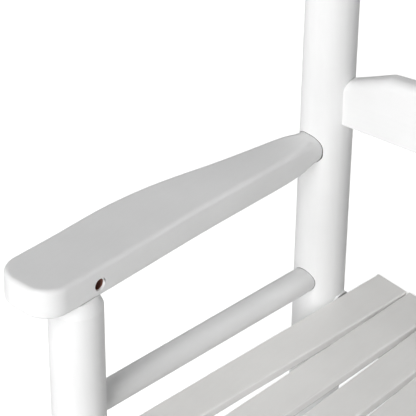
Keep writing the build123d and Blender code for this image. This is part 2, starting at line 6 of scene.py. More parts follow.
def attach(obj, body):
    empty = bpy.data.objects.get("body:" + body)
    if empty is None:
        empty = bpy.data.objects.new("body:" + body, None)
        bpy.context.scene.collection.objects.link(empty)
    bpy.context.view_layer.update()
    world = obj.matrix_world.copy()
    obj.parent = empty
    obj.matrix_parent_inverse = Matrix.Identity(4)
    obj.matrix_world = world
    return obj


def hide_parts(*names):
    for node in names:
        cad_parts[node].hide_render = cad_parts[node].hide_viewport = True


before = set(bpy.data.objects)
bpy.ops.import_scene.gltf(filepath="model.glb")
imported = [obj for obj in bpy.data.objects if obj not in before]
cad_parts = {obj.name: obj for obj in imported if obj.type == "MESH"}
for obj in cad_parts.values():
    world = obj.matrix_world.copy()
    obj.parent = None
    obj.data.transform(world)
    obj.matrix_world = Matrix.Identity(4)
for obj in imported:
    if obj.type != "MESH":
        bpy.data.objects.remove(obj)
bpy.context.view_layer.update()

# A white painted porch rocking chair. Lengths are metres and angles degrees.
#
# Pieces are worked out in the chair frame, where Y = 0 and Z = 0 is the point of each back post
# that the side rail enters, and then leaned back into the row frame of the CAD.

# ---- driving dimensions -------------------------------------------------------------------
POST_R = 0.0285
POST_BACK_HALF = 0.237
SIDE_SPAN = 0.3752
SIDE_YAW = np.radians(6.68)
BACK_RAKE = np.tan(np.radians(1.75))
REST_LEAN = np.radians(5.0)
CONTACT = np.array([0.0, -0.0845, -0.418])

# seat slats, from the outermost one to the middle one: each dips toward the middle
SLAT_WIDTH = 0.0422
SLAT_THICK = 0.0120
SLAT_LENGTH = 0.470
SLAT_SLOPE = -0.07
SLAT_GAP_REAR = 0.0023
SLAT_NAMES = ("outer", "second", "third", "inner")
SLAT_YAWS = np.radians((6.68, 4.15, 2.05, 0.69, 0.0))
SLAT_TILTS = np.radians((6.31, 6.38, 4.10, 2.00, 0.0))
SLAT_STEPS = (0.0, 0.0013, -0.0009, -0.0001, 0.0)
SLAT_REAR_CORNER = np.array([-0.1981, 0.0612, -0.0238])
SLAT_CORNER_R = 0.0016
SLAT_EDGE_R = 0.0025
SLAT_LOWER_EDGE_R = 0.0011
SLAT_REAR_EDGE_R = 0.0008
SLAT_REAR_EDGE = 0.003          # length of the rear end with the sharper edge
SLAT_NOSE_R = 0.004
SLAT_WAVES = ((0.00012, 31.0, 2.1), (0.00008, 77.0, 1.0))    # depth, waves, shift from slat to slat

# arm: offsets of its two sides at stations behind the front post's axis
ARM_THICK = 0.0348
ARM_FRONT_Z = 0.1859
ARM_REAR_Z = 0.1716
ARM_FRONT = 0.058
ARM_FRONT_R = 0.030
ARM_EDGE_R = 0.005
ARM_END_EDGE_R = 0.0155
ARM_EDGE_POWER = 9
ARM_BUTT_R = 0.0005             # edge radius of the rear end, hidden in the post
ARM_SHAPED = 0.200
ARM_STATIONS = np.array([-0.028, 0.020, 0.110, 0.155, 0.200, 0.230, 0.260, 0.290, 0.320, 0.350, 0.365])
ARM_OUTER = np.array([-58.0, -58.0, -58.6, -54.3, -45.8, -38.9, -32.9, -27.6, -23.3, -20.4, -18.8]) / 1000
ARM_INNER = np.array([18.2, 18.0, 16.4, 15.4, 15.2, 15.4, 15.6, 15.8, 15.7, 14.9, 14.6]) / 1000

# stations where the arm's middle, inner side and outer side enter the back post
ARM_JOINT = 0.3467
ARM_JOINT_INNER = 0.3507
ARM_JOINT_OUTER = 0.3538

PEG_R = 0.0065
PEG_BEHIND = 0.0175
PEG_DROP = 0.003
PEG_SUNK = 0.0143
PEG_PAINT = 0.0026              # the paint runs this far into the hole
PEG_LIP = 0.0009                # rounding of the hole's mouth
PEG_PATCH = 0.010               # half the length of arm side that is cut open round the hole
PEG_FLAT = 0.0006               # flat ring outside the lip

SIDE_RAIL_R = 0.0148
RAIL_RISE = 0.0243
STRETCHER_R = 0.0125
STRETCHER_FRONT_Z = -0.215
STRETCHER_BACK_Z = -0.232
TENON_DEPTH = 0.018
RAIL_EASE = 0.0004              # how much thinner a rail is where it enters a post
RAIL_EASE_LENGTH = 0.009

# a dark sheet painted as the shadow in the joint where a member enters a post
SHADOW_LINE_PROUD = 0.00008
SHADOW_LINE_CREST = 0.0001
SHADOW_LINE_ROOT = 0.0003
SHADOW_LINE_BURIED = 0.0004
SHADOW_LINE_RIPPLE = 0.00004
RAIL_SHADOW_LINE = 0.00012
RAIL_SHADOW_LINE_TOP = 0.00045
ARM_SHADOW_LINE = 0.0005
ARM_SHADOW_LINE_WIDE = 0.0006

FRONT_HALF = POST_BACK_HALF + SIDE_SPAN * np.sin(SIDE_YAW)
FRONT_Y = -SIDE_SPAN * np.cos(SIDE_YAW)
FRONT_POST = np.array([-FRONT_HALF, FRONT_Y, 0.0])
BACK_POST = np.array([-POST_BACK_HALF, 0.0, 0.0])
UPWARD = np.array([0.0, BACK_RAKE, 1.0]) / np.hypot(BACK_RAKE, 1.0)


def to_row(points):
    """Chair frame to row frame: shift the contact point to the origin and lean back about X."""
    shifted = np.asarray(points, float) - CONTACT
    x, y, z = np.moveaxis(shifted, -1, 0)
    sine, cosine = np.sin(REST_LEAN), np.cos(REST_LEAN)
    return np.stack([x, cosine * y + sine * z, cosine * z - sine * y], -1)


def unit(vector):
    """The vector divided by its own length."""
    vector = np.asarray(vector, float)
    return vector / np.linalg.norm(vector)


def arm_axes():
    """Origin, rearward, outward and upward directions of the right arm's mid plane."""
    side = np.array([np.sin(SIDE_YAW), np.cos(SIDE_YAW), 0.0])
    origin = FRONT_POST + [0.0, 0.0, ARM_FRONT_Z]
    rearward = unit(side * SIDE_SPAN + [0.0, 0.0, ARM_REAR_Z - ARM_FRONT_Z])
    level_out = np.array([-np.cos(SIDE_YAW), np.sin(SIDE_YAW), 0.0])
    upward = unit(np.cross(rearward, level_out))
    return origin, rearward, np.cross(upward, rearward), upward


# ---- mesh building -------------------------------------------------------------------------
def new_piece(name, points, faces, materials):
    """Put points and faces into a new object that rides on the chair."""
    mesh = bpy.data.meshes.new(name)
    mesh.from_pydata(points.tolist(), [], [list(map(int, face)) for face in faces])
    for material in materials:
        mesh.materials.append(material)
    mesh.shade_smooth()
    mesh.validate()
    piece = bpy.data.objects.new(name, mesh)
    bpy.context.scene.collection.objects.link(piece)
    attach(piece, "root")
    return piece


def ring_faces(rows, columns):
    """Quads between neighbouring closed rings of a rows by columns grid of points."""
    row, column = np.meshgrid(np.arange(rows - 1), np.arange(columns), indexing="ij")
    following = (column + 1) % columns
    quads = [row * columns + column, row * columns + following,
             (row + 1) * columns + following, (row + 1) * columns + column]
    return np.stack(quads, -1).reshape(-1, 4)


def mirrored(points, faces):
    """The same surface on the other side of the chair, with its faces still outward."""
    flipped = points * np.array([-1.0, 1.0, 1.0])
    return flipped, [face[::-1] for face in faces]


def turned(start, end, profile, segments=96):
    """A turned piece: rings of the profile's radius at its distances along the line from start
    to end, p = start + a t + r(t) (u cos w + v sin w), closed at both poles. The line may have
    any direction but that of X."""
    start, end = np.asarray(start, float), np.asarray(end, float)
    axis = unit(end - start)
    u = unit(np.cross(axis, [1.0, 0.0, 0.0]))
    v = np.cross(axis, u)
    distance, radius = np.asarray(profile, float).T
    angle = np.linspace(0, 2 * np.pi, segments, endpoint=False)
    spoke = np.outer(np.cos(angle), u) + np.outer(np.sin(angle), v)
    rings = (start + distance[:, None] * axis)[:, None] + radius[:, None, None] * spoke
    count = len(distance)
    points = np.vstack([rings.reshape(-1, 3), start + distance[0] * axis, start + distance[-1] * axis])
    faces = list(ring_faces(count, segments))
    foot, head = count * segments, count * segments + 1
    base = (count - 1) * segments
    faces += [(foot, (i + 1) % segments, i) for i in range(segments)]
    faces += [(head, base + i, base + (i + 1) % segments) for i in range(segments)]
    return points, faces


def inset_normals(outline):
    """Inward unit normals of a closed anticlockwise outline, from the chord between neighbours."""
    chord = np.roll(outline, -1, 0) - np.roll(outline, 1, 0)
    chord /= np.linalg.norm(chord, axis=1)[:, None]
    return np.stack([-chord[:, 1], chord[:, 0]], -1)


BOARD_STEPS = 9
BOARD_MARGIN = 0.0004


def board(origin, x_dir, y_dir, outline, low, high, low_radius, high_radius):
    """A board: its outline carried from the height low to high along x_dir cross y_dir, with
    edges rounded by quarter circles, inset r (1 - cos w) at height r sin w from the tangent.
    Rows run upward: a lower margin, the lower rounding, the side, the upper rounding, a margin."""
    origin, x_dir, y_dir = (np.asarray(value, float) for value in (origin, x_dir, y_dir))
    z_dir = np.cross(x_dir, y_dir)
    inward = inset_normals(outline)
    low_radius = np.broadcast_to(low_radius, len(outline))
    high_radius = np.broadcast_to(high_radius, len(outline))
    angles = np.linspace(0, np.pi / 2, BOARD_STEPS)
    rows = [(low_radius + BOARD_MARGIN, low + 0 * low_radius)]
    for angle in angles[::-1]:
        rows.append((low_radius * (1 - np.cos(angle)), low + low_radius * (1 - np.sin(angle))))
    rows.append((0 * low_radius, low + low_radius + BOARD_MARGIN))
    rows.append((0 * high_radius, high - high_radius - BOARD_MARGIN))
    for angle in angles:
        rows.append((high_radius * (1 - np.cos(angle)), high - high_radius * (1 - np.sin(angle))))
    rows.append((high_radius + BOARD_MARGIN, high + 0 * high_radius))
    rings = []
    for inset, height in rows:
        flat = outline + inward * inset[:, None]
        rings.append(origin + flat[:, :1] * x_dir + flat[:, 1:] * y_dir + height[:, None] * z_dir)
    rings = np.array(rings)
    count, around = rings.shape[:2]
    faces = list(ring_faces(count, around))
    faces.append(list(range(around))[::-1])
    faces.append([(count - 1) * around + i for i in range(around)])
    return rings.reshape(-1, 3), faces


def arc(centre, radius, start, stop, steps):
    """Points on a circle between two angles, both ends included."""
    angle = np.radians(np.linspace(start, stop, steps))
    return np.asarray(centre) + radius * np.stack([np.cos(angle), np.sin(angle)], -1)


def smooth_curve(x, y, at):
    """Cubic Hermite curve through the points (x, y), its slopes from their neighbours."""
    slope = np.gradient(y, x)
    index = np.clip(np.searchsorted(x, at) - 1, 0, len(x) - 2)
    step = x[index + 1] - x[index]
    t = (at - x[index]) / step
    return ((2 * t ** 3 - 3 * t ** 2 + 1) * y[index] + (t ** 3 - 2 * t ** 2 + t) * step * slope[index]
            + (3 * t ** 2 - 2 * t ** 3) * y[index + 1] + (t ** 3 - t ** 2) * step * slope[index + 1])


# ---- materials -----------------------------------------------------------------------------
def node(tree, kind, **inputs):
    """A node with its inputs set: a value is stored, a socket is linked. Inputs that share a
    name are given by number, as _0 or _1."""
    made = tree.nodes.new(kind)
    for name, value in inputs.items():
        numbered = name.startswith("_")
        fill(tree, made.inputs[int(name[1:]) if numbered else name], value)
    return made


def fill(tree, socket, value):
    """Link a socket to another one, or store a plain value in it."""
    if isinstance(value, bpy.types.NodeSocket):
        tree.links.new(value, socket)
    else:
        socket.default_value = value


def grouped(tree, group, inputs):
    """A copy of a node group with its inputs set."""
    made = tree.nodes.new("ShaderNodeGroup")
    made.node_tree = group
    for name, value in inputs.items():
        fill(tree, made.inputs[name], value)
    return made


def mapped(tree, value, to_range, from_range=(0.0, 1.0)):
    """The value carried from one range to another and held there."""
    made = node(tree, "ShaderNodeMapRange", Value=value)
    made.inputs["From Min"].default_value, made.inputs["From Max"].default_value = from_range
    made.inputs["To Min"].default_value, made.inputs["To Max"].default_value = to_range
    return made.outputs[0]


def seen_by_camera(tree, others, camera):
    """One shader for camera rays and another for all the rest."""
    path = node(tree, "ShaderNodeLightPath")
    mix = node(tree, "ShaderNodeMixShader", Fac=path.outputs["Is Camera Ray"])
    tree.links.new(others.outputs[0], mix.inputs[1])
    tree.links.new(camera.outputs[0], mix.inputs[2])
    return mix.outputs[0]


def painted_wood_group():
    """Brushed satin paint over wood. Height is faint grain, orange peel and slow waviness; Tone
    is a slow patchiness of the coat; Gloss is where the paint lies thicker and shinier."""
    group = bpy.data.node_groups.new("painted_wood", "ShaderNodeTree")
    interface = group.interface
    for name in ("Vector", "Even Vector"):
        interface.new_socket(name, in_out="INPUT", socket_type="NodeSocketVector")
    for name, default in (("Grain", 0.35), ("Peel", 0.25), ("Wave", 0.5)):
        interface.new_socket(name, in_out="INPUT", socket_type="NodeSocketFloat").default_value = default
    for name in ("Height", "Tone", "Gloss"):
        interface.new_socket(name, in_out="OUTPUT", socket_type="NodeSocketFloat")
    inside = node(group, "NodeGroupInput")
    outside = node(group, "NodeGroupOutput")
    vector, even = inside.outputs["Vector"], inside.outputs["Even Vector"]
    grain = node(group, "ShaderNodeTexNoise", Vector=vector, Scale=1.0, Detail=5.0, Roughness=0.6)
    peel = node(group, "ShaderNodeTexNoise", Vector=even, Scale=420.0, Detail=2.0, Roughness=0.5)
    wave = node(group, "ShaderNodeTexNoise", Vector=even, Scale=9.0, Detail=1.0, Roughness=0.4)
    patch = node(group, "ShaderNodeTexNoise", Vector=even, Scale=16.0, Detail=3.0, Roughness=0.5)

    def math(operation, first, second):
        made = node(group, "ShaderNodeMath", _0=first, _1=second)
        made.operation = operation
        return made.outputs[0]

    rough = math("MULTIPLY", grain.outputs["Fac"], inside.outputs["Grain"])
    skin = math("MULTIPLY", peel.outputs["Fac"], inside.outputs["Peel"])
    slow = math("MULTIPLY", wave.outputs["Fac"], inside.outputs["Wave"])
    group.links.new(math("ADD", math("ADD", rough, skin), slow), outside.inputs["Height"])
    fine_tone = math("MULTIPLY", grain.outputs["Fac"], 0.3)
    broad_tone = math("MULTIPLY", patch.outputs["Fac"], 0.7)
    group.links.new(math("ADD", fine_tone, broad_tone), outside.inputs["Tone"])
    fine_gloss = math("MULTIPLY", grain.outputs["Fac"], 0.5)
    broad_gloss = math("MULTIPLY", wave.outputs["Fac"], 0.5)
    group.links.new(math("ADD", fine_gloss, broad_gloss), outside.inputs["Gloss"])
    return group


def crevice_shade_group():
    """How shut in by nearby surfaces a point lies, from 0 in the open to 1 deep in a narrow corner: the mask
    for painted shade in crevices.
    """
    group = bpy.data.node_groups.new("crevice", "ShaderNodeTree")
    interface = group.interface
    interface.new_socket("Reach", in_out="INPUT", socket_type="NodeSocketFloat").default_value = 0.004
    interface.new_socket("Fac", in_out="OUTPUT", socket_type="NodeSocketFloat")
    inside = node(group, "NodeGroupInput")
    outside = node(group, "NodeGroupOutput")
    hollow = node(group, "ShaderNodeAmbientOcclusion", Distance=inside.outputs["Reach"])
    hollow.samples = 8
    group.links.new(mapped(group, hollow.outputs["AO"], (0.0, 1.0), (0.62, 0.12)), outside.inputs["Fac"])
    return group


def principled(name):
    """A material with an empty tree but its shader, and that shader."""
    material = bpy.data.materials.new(name)
    material.use_nodes = True
    shader = material.node_tree.nodes["Principled BSDF"]
    return material, material.node_tree, shader


def ramp_node(tree, factor, stops):
    """A colour ramp with its stops given as (position, colour)."""
    ramp = node(tree, "ShaderNodeValToRGB", Fac=factor)
    elements = ramp.color_ramp.elements
    while len(elements) < len(stops):
        elements.new(0.5)
    for element, (position, colour) in zip(elements, stops):
        element.position = position
        element.color = (*colour, 1)
    return ramp.outputs[0]


def mixed(tree, factor, first, second):
    """Two colours mixed by a factor; either may be a socket or a plain colour."""
    mix = tree.nodes.new("ShaderNodeMix")
    mix.data_type = "RGBA"
    tree.links.new(factor, mix.inputs[0])
    for socket, value in ((mix.inputs[6], first), (mix.inputs[7], second)):
        fill(tree, socket, value if isinstance(value, bpy.types.NodeSocket) else (*value, 1))
    return mix.outputs[2]


# reach of the painted shade that darkens narrow corners
PAINTED_SHADE_REACH = 0.0035


def white_paint(name, grain_scale, dark, light, crevice_shade=(0.48, 0.47, 0.46)):
    """Satin white paint on hardwood: grain telegraphs faintly along grain_scale's least axis,
    the tone drifts between dark and light, and narrow corners are darkened as painted shade."""
    material, tree, shader = principled(name)
    place = node(tree, "ShaderNodeTexCoord").outputs["Object"]
    turn = node(tree, "ShaderNodeMapping", Vector=place, Scale=grain_scale)
    surface = grouped(tree, PAINTED_WOOD, {"Vector": turn.outputs[0], "Even Vector": place,
                                           "Grain": 0.5, "Peel": 0.12, "Wave": 1.5})
    bump = node(tree, "ShaderNodeBump", Strength=0.3, Distance=0.0004, Height=surface.outputs["Height"])
    tree.links.new(bump.outputs[0], shader.inputs["Normal"])
    paint = ramp_node(tree, surface.outputs["Tone"], ((0.35, dark), (0.65, light)))
    # painted shade: the paint is darkened toward the corner colour where ambient occlusion finds a narrow
    # corner
    corner = grouped(tree, CREVICE_SHADE, {"Reach": PAINTED_SHADE_REACH})
    tree.links.new(mixed(tree, corner.outputs["Fac"], paint, crevice_shade), shader.inputs["Base Color"])
    rough = mapped(tree, surface.outputs["Gloss"], (0.38, 0.50), (0.3, 0.7))
    tree.links.new(rough, shader.inputs["Roughness"])
    shader.inputs["Specular IOR Level"].default_value = 0.4
    return material


def bare_wood(name, dark, light):
    """Unpainted hardwood: stretched grain, pores in the bump, a dull cut surface."""
    material, tree, shader = principled(name)
    place = node(tree, "ShaderNodeTexCoord").outputs["Object"]
    turn = node(tree, "ShaderNodeMapping", Vector=place, Scale=(700, 700, 120))
    grain = node(tree, "ShaderNodeTexNoise", Vector=turn.outputs[0], Scale=1.0, Detail=6.0, Roughness=0.7)
    colour = ramp_node(tree, grain.outputs["Fac"], ((0.3, dark), (0.7, light)))
    tree.links.new(colour, shader.inputs["Base Color"])
    bump = node(tree, "ShaderNodeBump", Strength=0.6, Distance=0.0003, Height=grain.outputs["Fac"])
    tree.links.new(bump.outputs[0], shader.inputs["Normal"])
    tree.links.new(mapped(tree, grain.outputs["Fac"], (0.65, 0.95)), shader.inputs["Roughness"])
    return material


def metal(name, dark, light, roughness, metallic, scale):
    """Plated or painted steel: fine scratches in bump and roughness, small spots in colour."""
    material, tree, shader = principled(name)
    place = node(tree, "ShaderNodeTexCoord").outputs["Object"]
    turn = node(tree, "ShaderNodeMapping", Vector=place, Scale=scale)
    scratch = node(tree, "ShaderNodeTexNoise", Vector=turn.outputs[0], Scale=1.0, Detail=4.0, Roughness=0.6)
    spot = node(tree, "ShaderNodeTexNoise", Vector=place, Scale=260.0, Detail=3.0, Roughness=0.6)
    colour = ramp_node(tree, spot.outputs["Fac"], ((0.35, dark), (0.65, light)))
    tree.links.new(colour, shader.inputs["Base Color"])
    bump = node(tree, "ShaderNodeBump", Strength=0.3, Distance=0.0002, Height=scratch.outputs["Fac"])
    tree.links.new(bump.outputs[0], shader.inputs["Normal"])
    rough = mapped(tree, scratch.outputs["Fac"], (roughness - 0.1, roughness + 0.1))
    tree.links.new(rough, shader.inputs["Roughness"])
    shader.inputs["Metallic"].default_value = metallic
    return material


PAINTED_WOOD = painted_wood_group()
CREVICE_SHADE = crevice_shade_group()
WHITE = ((0.845, 0.846, 0.846), (0.875, 0.876, 0.876))
LENGTHWISE = (260, 7, 260)
# reddish brown painted shade for the narrow corners of the seat slats
RED_PAINTED_SHADE = (0.22, 0.15, 0.12)
PAINT_UP = white_paint("white_paint_upright", (260, 260, 7), *WHITE)
PAINT_BACK = white_paint("white_paint_lengthwise", LENGTHWISE, *WHITE)
PAINT_ACROSS = white_paint("white_paint_crosswise", (7, 260, 260), *WHITE)
SLAT_PAINT = white_paint("white_paint_slat", LENGTHWISE, (0.84, 0.832, 0.815), (0.875, 0.868, 0.85), RED_PAINTED_SHADE)
# the slats' sides take a lighter copy of the slat paint as painted light, and their rounded lower edges a
# darker copy as painted shade
SLAT_SIDE_PAINTED_LIGHT = white_paint("white_paint_slat_side_painted_light", LENGTHWISE, (0.92, 0.913, 0.90),
                              (0.955, 0.948, 0.935), RED_PAINTED_SHADE)
SLAT_EDGE_PAINTED_SHADE = white_paint("white_paint_slat_edge_painted_shade", LENGTHWISE, (0.50, 0.49, 0.475),
                              (0.60, 0.59, 0.575), RED_PAINTED_SHADE)
# near-black painted shadow for the sheets round the joints, made with the bare wood shader
JOINT_SHADOW = bare_wood("joint_shadow", (0.03, 0.028, 0.026), (0.08, 0.07, 0.065))
BARE_WOOD = bare_wood("bare_wood", (0.16, 0.055, 0.035), (0.30, 0.13, 0.09))
ZINC = metal("zinc_screw", (0.55, 0.56, 0.58), (0.72, 0.72, 0.70), 0.35, 1.0, (900, 900, 60))
BOLT_PAINT = metal("painted_bolt", (0.76, 0.76, 0.75), (0.83, 0.83, 0.82), 0.45, 0.0, (500, 500, 500))

# the first word that a node's name holds gives its finish; the grain runs along the piece
FINISHES = (("bolts", BOLT_PAINT), ("washers", BOLT_PAINT), ("nuts", BOLT_PAINT), ("screws", ZINC),
            ("arm_pegs", BARE_WOOD), ("back_slat", PAINT_ACROSS), ("stretcher", PAINT_ACROSS),
            ("rail", PAINT_ACROSS), ("post", PAINT_UP), ("rocker", PAINT_BACK))


def cad_material(name):
    """The finish of a carried-over CAD node."""
    for word, finish in FINISHES:
        if word in name:
            return finish
    return PAINT_BACK


for name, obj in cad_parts.items():
    for place in obj.material_slots:
        place.material = cad_material(name)


# ---- arms ----------------------------------------------------------------------------------
def arm_outline():
    """Plan of the arm, anticlockwise: inner side, rear end, outer side and rounded front end.
    The corners are quarter circles and both sides are Hermite curves."""
    hole = np.linspace(PEG_BEHIND - PEG_PATCH, PEG_BEHIND + PEG_PATCH, 21)
    front, rear = ARM_STATIONS[0], ARM_STATIONS[-1]
    before = np.linspace(front, hole[0], 16)[:-1]
    behind = np.linspace(hole[-1], rear, 170)[1:]
    stations = np.concatenate([before, hole, behind])
    inner = np.stack([stations, -smooth_curve(ARM_STATIONS, ARM_INNER, stations)], -1)
    outer = np.stack([stations, -smooth_curve(ARM_STATIONS, ARM_OUTER, stations)], -1)
    low, high = inner[-1, 1], outer[-1, 1]
    end = np.stack([np.full(9, rear + 0.0005), np.linspace(low + 0.001, high - 0.001, 9)], -1)
    corner_x = ARM_FRONT_R - ARM_FRONT
    left = arc((corner_x, outer[0, 1] - ARM_FRONT_R), ARM_FRONT_R, 90, 180, 30)
    right = arc((corner_x, inner[0, 1] + ARM_FRONT_R), ARM_FRONT_R, 180, 270, 30)
    face = np.linspace(left[-1], right[0], 8)[1:-1]
    whole = np.vstack([inner, end, outer[::-1], left[1:], face, right[:-1]])
    first = int(np.searchsorted(stations, hole[0] - 1e-6))
    return whole, first, first + len(hole) - 1


def stitched(outer_ids, outer_at, inner_ids, inner_at):
    """Triangles between two rings of points that run the same way about a common centre."""
    def angles(points):
        turn = np.unwrap(np.arctan2(points[:, 1], points[:, 0]))
        return turn - 2 * np.pi * np.floor(turn[0] / (2 * np.pi) + 0.5)

    outer_turn, inner_turn = angles(outer_at), angles(inner_at)
    start = int(np.argmin(np.abs(inner_turn - outer_turn[0])))
    inner_ids = np.roll(inner_ids, -start)
    inner_turn = np.roll(inner_turn, -start)
    inner_turn[inner_turn < inner_turn[0]] += 2 * np.pi
    faces, i, j = [], 0, 0
    count_out, count_in = len(outer_ids), len(inner_ids)
    next_out = np.append(outer_turn, outer_turn[0] + 2 * np.pi)
    next_in = np.append(inner_turn, inner_turn[0] + 2 * np.pi)
    while i < count_out or j < count_in:
        here_out, here_in = outer_ids[i % count_out], inner_ids[j % count_in]
        if j >= count_in or (i < count_out and next_out[i + 1] <= next_in[j + 1]):
            faces.append((here_out, outer_ids[(i + 1) % count_out], here_in))
            i += 1
        else:
            faces.append((here_out, inner_ids[(j + 1) % count_in], here_in))
            j += 1
    return faces


def arm_surface():
    """The right arm: a rounded board whose edge radius grows toward the back post as
    5 + 10.5 (d / length)^9 mm, with the peg's hole let into its inner side. The hole's mouth
    rounds in as radius r + l (1 - sin w) at depth l (1 - cos w). The last number returned is how
    many of the last faces are the hole's unpainted wall and floor."""
    origin, rearward, outward, upward = arm_axes()
    outline, first, last = arm_outline()
    share = np.clip((outline[:, 0] - ARM_SHAPED) / (ARM_JOINT - ARM_SHAPED), 0, 1)
    radius = ARM_EDGE_R + (ARM_END_EDGE_R - ARM_EDGE_R) * share ** ARM_EDGE_POWER
    radius = np.where(outline[:, 0] > ARM_STATIONS[-1] + 0.0001, ARM_BUTT_R, radius)
    half, segments, lip_steps, wall_steps = ARM_THICK / 2, 72, 7, 8
    points, faces = board(origin, rearward, outward, outline, -half, half, radius, radius)
    around = len(outline)
    row = BOARD_STEPS + 1
    opened = set(range(row * around + first, row * around + last))
    faces = [face for number, face in enumerate(faces) if number not in opened]
    lower = row * around + np.arange(first, last + 1)
    rim_ids = np.concatenate([lower, (lower + around)[::-1]])
    local = (points[rim_ids] - origin) @ np.stack([rearward, upward], -1) - [PEG_BEHIND, -PEG_DROP]
    angle = np.linspace(0, 2 * np.pi, segments, endpoint=False) - np.pi * 0.75
    ring = np.stack([np.cos(angle), np.sin(angle)], -1)
    patch = outline[first:last + 1]
    side = np.interp(PEG_BEHIND + ring[:, 0] * PEG_R, patch[:, 0], patch[:, 1])
    rings = [(PEG_R + PEG_LIP + PEG_FLAT, 0.0)]
    for w in np.linspace(0, np.pi / 2, lip_steps):
        rings.append((PEG_R + PEG_LIP * (1 - np.sin(w)), PEG_LIP * (1 - np.cos(w))))
    rings += [(PEG_R, depth) for depth in np.linspace(PEG_PAINT, PEG_SUNK, wall_steps)]
    made, base = [points], len(points)
    for reach, depth in rings:
        flat = ring * reach + [PEG_BEHIND, -PEG_DROP]
        outside = (side + depth)[:, None] * outward
        made.append(origin + flat[:, :1] * rearward + outside + flat[:, 1:] * upward)
    ids = base + np.arange(len(rings) * segments).reshape(-1, segments)
    faces += stitched(rim_ids, local, ids[0], ring)
    faces += [tuple(face) for face in ring_faces(len(rings), segments) + base]
    faces.append(tuple(ids[-1]))
    return np.vstack(made), faces, (wall_steps - 1) * segments + 1


# ---- joints --------------------------------------------------------------------------------
def reach_post(points, direction, axis_point, axis):
    """Distance t along direction at which p + t d meets the post: |(p + t d - a) x k| = R."""
    offset = points - axis_point
    offset = offset - (offset @ axis)[:, None] * axis
    across = direction - (direction @ axis) * axis
    a, b, c = across @ across, offset @ across, (offset ** 2).sum(1) - POST_R ** 2
    return (-b - np.sqrt(np.maximum(b * b - a * c, 0))) / a


def joint_ring(contour, normals, direction, axis_point, axis, profile):
    """A closed ring round a member where it enters a post: each profile row (e, h) lies e out
    from the member's surface and h short of the post's, both arrays around the contour."""
    rows = []
    for out, short in profile:
        moved = contour + normals * np.broadcast_to(out, len(contour))[:, None]
        travel = reach_post(moved, direction, axis_point, axis) - short
        rows.append(moved + travel[:, None] * direction)
    points = np.array(rows)
    count, around = points.shape[:2]
    faces = ring_faces(count + 1, around) % (count * around)
    return points.reshape(-1, 3), [tuple(face) for face in faces]


def shadow_line_profile(width):
    """The cross-section of a dark painted shadow line of varying width, lying a little proud of the post, its
    back in the wood.
    """
    return [(-SHADOW_LINE_ROOT, SHADOW_LINE_PROUD), (width * 0.5, SHADOW_LINE_CREST), (width, SHADOW_LINE_PROUD),
            (width, -SHADOW_LINE_BURIED), (-SHADOW_LINE_ROOT, -SHADOW_LINE_BURIED)]


def circle_contour(centre, direction, radius, segments=96):
    """Points and outward normals of a circle square to direction."""
    u = unit(np.cross(direction, [0.0, 0.0, 1.0]))
    v = np.cross(direction, u)
    angle = np.linspace(0, 2 * np.pi, segments, endpoint=False)
    normals = np.outer(np.cos(angle), u) + np.outer(np.sin(angle), v)
    return centre + radius * normals, normals, angle


def rounded_contour(centre, right, up, half_width, half_height, radius, segments=24):
    """Points and outward normals of a rectangle with round corners, anticlockwise about
    right cross up."""
    points, normals = [], []
    for turn, x, y in ((0, 1, 1), (90, -1, 1), (180, -1, -1), (270, 1, -1)):
        spokes = arc((0, 0), 1.0, turn, turn + 90, segments)
        middle = np.array([x * (half_width - radius), y * (half_height - radius)])
        points.append(middle + radius * spokes)
        normals.append(spokes)
    points, normals = np.vstack(points), np.vstack(normals)
    frame_2d = np.stack([right, up])
    return centre + points @ frame_2d, normals @ frame_2d


def both_sides(name, points, faces, materials, replaced=()):
    """The right hand piece and its mirror image, each in place of a CAD node if one is named."""
    pieces = []
    for side, (made, built) in (("right", (points, faces)), ("left", mirrored(points, faces))):
        piece = new_piece(f"{side}_{name}", to_row(made), built, materials)
        if replaced:
            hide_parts(*(f"{side}_{node_name}" for node_name in replaced))
        pieces.append(piece)
    return pieces


def side_member(name, front_z, back_z, radius, replaced):
    """A turned rail between the right posts: its radius is r - t (d / c)^2 over the last c
    before each post, and a dark sheet of painted shadow, widest on top, runs round each end."""
    start = FRONT_POST + [0, 0, front_z]
    end = BACK_POST + [0, BACK_RAKE * back_z, back_z]
    direction = unit(end - start)
    length = np.linalg.norm(end - start)
    inset = POST_R - TENON_DEPTH
    surface = POST_R + 0.001
    near = np.linspace(inset, surface + 0.012, 14)
    middle = np.linspace(surface + 0.02, length - surface - 0.02, 60)
    along = np.concatenate([near, middle, length - near[::-1]])
    from_end = np.minimum(along, length - along)
    short = np.clip(surface + RAIL_EASE_LENGTH - from_end, 0, RAIL_EASE_LENGTH)
    profile = np.stack([along, radius - RAIL_EASE * (short / RAIL_EASE_LENGTH) ** 2], -1)
    points, faces = turned(start, start + direction * length, profile)
    both_sides(name, points, faces, [PAINT_BACK], replaced)
    vertical = np.array([0.0, 0.0, 1.0])
    ends = (("rear", BACK_POST, UPWARD, direction, end), ("front", FRONT_POST, vertical, -direction, start))
    for which, post_point, axis, way, centre in ends:
        contour, normals, angle = circle_contour(centre - way * 0.06, way, radius - RAIL_EASE)
        top = angle[int(np.argmax(normals[:, 2]))]
        gap_shadow = RAIL_SHADOW_LINE + RAIL_SHADOW_LINE_TOP * np.exp((np.cos(angle - top) - 1) / 0.25)
        gap_shadow += SHADOW_LINE_RIPPLE * np.sin(3 * angle + 1.0)
        ring, quads = joint_ring(contour, normals, way, post_point, axis, shadow_line_profile(gap_shadow))
        both_sides(f"{name}_{which}_gap", ring, quads, [JOINT_SHADOW])


